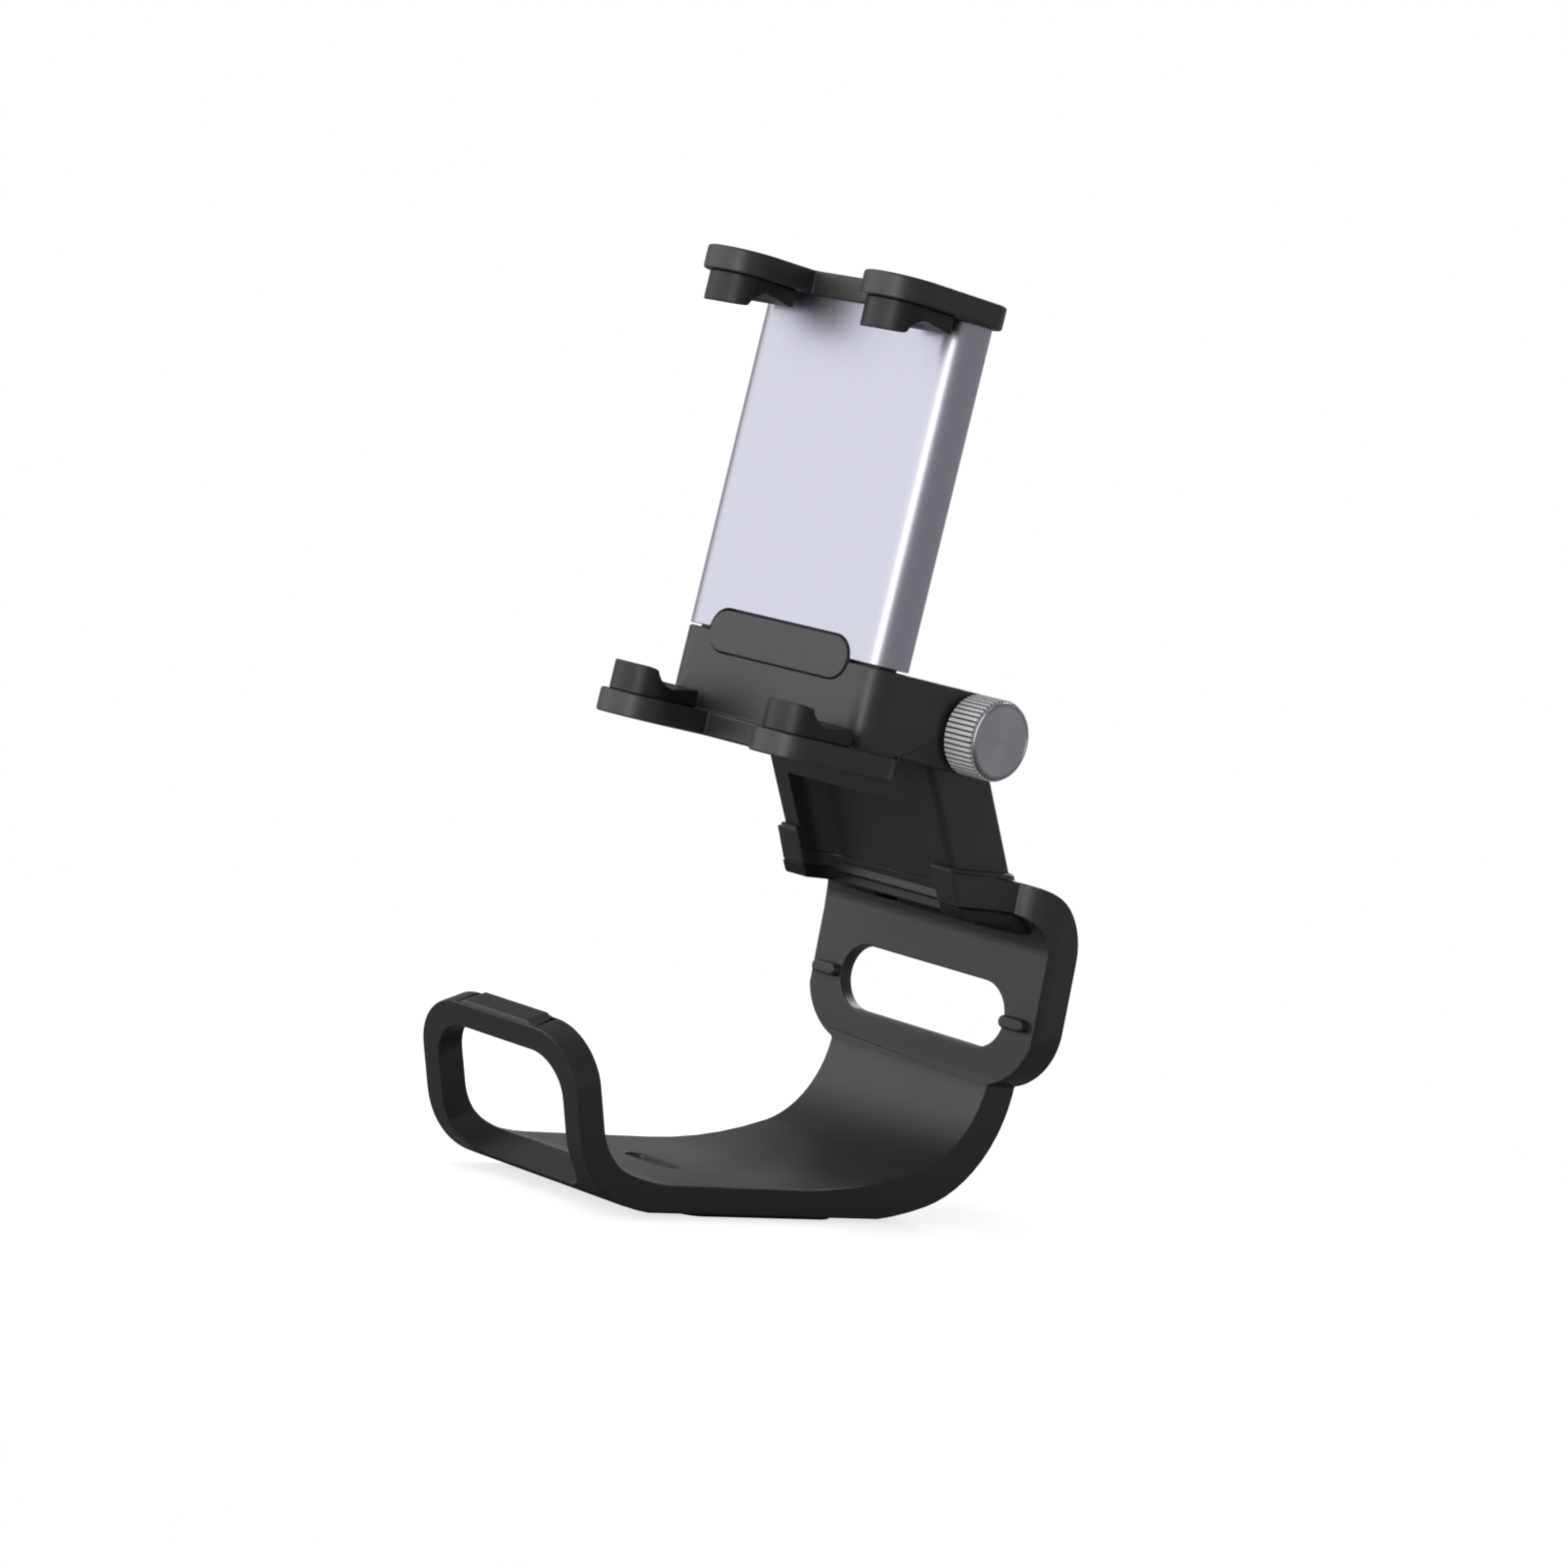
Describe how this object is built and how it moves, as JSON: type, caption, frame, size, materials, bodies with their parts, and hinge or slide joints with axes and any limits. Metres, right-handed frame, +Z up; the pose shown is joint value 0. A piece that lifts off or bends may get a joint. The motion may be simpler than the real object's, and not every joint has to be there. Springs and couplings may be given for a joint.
{
  "type": "controller phone clip",
  "caption": "Gamepad phone clip: black plastic cradle, hinged neck with knurled knob, spring-loaded aluminium phone holder with rubber jaw pads.",
  "frame": {"origin": "middle of the flat underside of the belly, on the plane of symmetry", "axes": "+X towards the knob, +Y from the front lip to the back panel, +Z up"},
  "size_m": [0.0472, 0.0811, 0.1201],
  "materials": {
    "plastic": "fine matte moulded ABS, black",
    "rubber_pad": "smooth black silicone rubber",
    "grey_rubber": "matte dark grey silicone rubber",
    "nylon": "self-lubricating black nylon",
    "anodised_aluminium": "satin silver anodised extrusion",
    "turned_aluminium": "turned aluminium, knurled rim and spun face",
    "screw_steel": "bright zinc-plated steel",
    "brass": "machined brass"
  },
  "bodies": {
    "clip": {"cradle": "plastic", "hook_pad": "rubber_pad", "neck": "plastic", "neck_screws": "screw_steel", "hinge_bush": "brass", "friction_washers": "nylon"},
    "holder": {"housing": "plastic", "lower_pads": "rubber_pad", "centre_pad": "grey_rubber", "slide_tongue": "nylon", "tongue_screws": "screw_steel", "return_springs": "screw_steel", "hinge_bolt": "screw_steel", "hinge_washers": "screw_steel", "bolt_cap": "plastic"},
    "jaw": {"sleeve": "anodised_aluminium", "top_jaw": "plastic", "upper_pads": "rubber_pad", "jaw_screws": "screw_steel", "guide_rods": "screw_steel", "rod_retainers": "screw_steel"},
    "knob": {"knob": "turned_aluminium", "knob_insert": "brass"}
  },
  "joints": [
    {"name": "holder_tilt", "type": "hinge", "parent": "clip", "child": "holder", "pos_m": [0, 0.0184, 0.0649], "axis": [1, 0, 0], "range_deg": [-50, 40]},
    {"name": "jaw_slide", "type": "slide", "parent": "holder", "child": "jaw", "axis": [0, 0.0715, 0.9974], "range_m": [0, 0.026], "stiffness_N_per_m": 150, "springref_m": -0.02, "deforming": ["return_springs"]},
    {"name": "knob_turn", "type": "hinge", "parent": "holder", "child": "knob", "pos_m": [0.0217, 0.0184, 0.0649], "axis": [1, 0, 0], "continuous": true}
  ]
}
